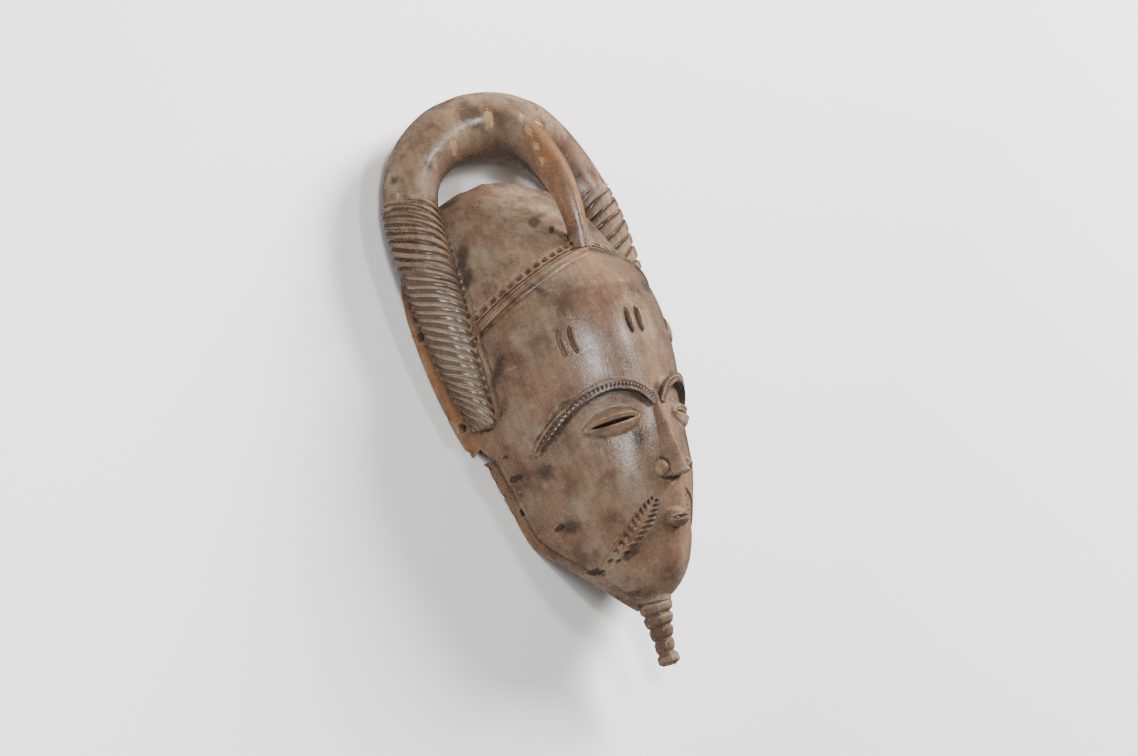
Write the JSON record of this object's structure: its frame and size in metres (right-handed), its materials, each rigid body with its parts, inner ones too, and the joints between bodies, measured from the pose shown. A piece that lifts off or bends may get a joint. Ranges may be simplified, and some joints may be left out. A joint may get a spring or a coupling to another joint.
{
  "type": "horned face mask",
  "caption": "Hollow carved wooden face mask with pierced eye slits, twisted horns joined in an arch over the coiffure and a ringed beard; worn over the face or fixed by its back rim.",
  "frame": {"origin": "centre of the bounding box in plan, on the plane of the back rim that the mask lies on", "axes": "+X across the face to the wearer's left, +Y up the face from beard to arch, +Z out of the face"},
  "size_m": [0.2038, 0.4136, 0.1093],
  "materials": {
    "carved_wood": "dusty brown patina, satin where handled, orange-brown where worn through, with dark stains and pale dust in the grooves"
  },
  "bodies": {
    "root": {"mask": "carved_wood"}
  },
  "joints": []
}
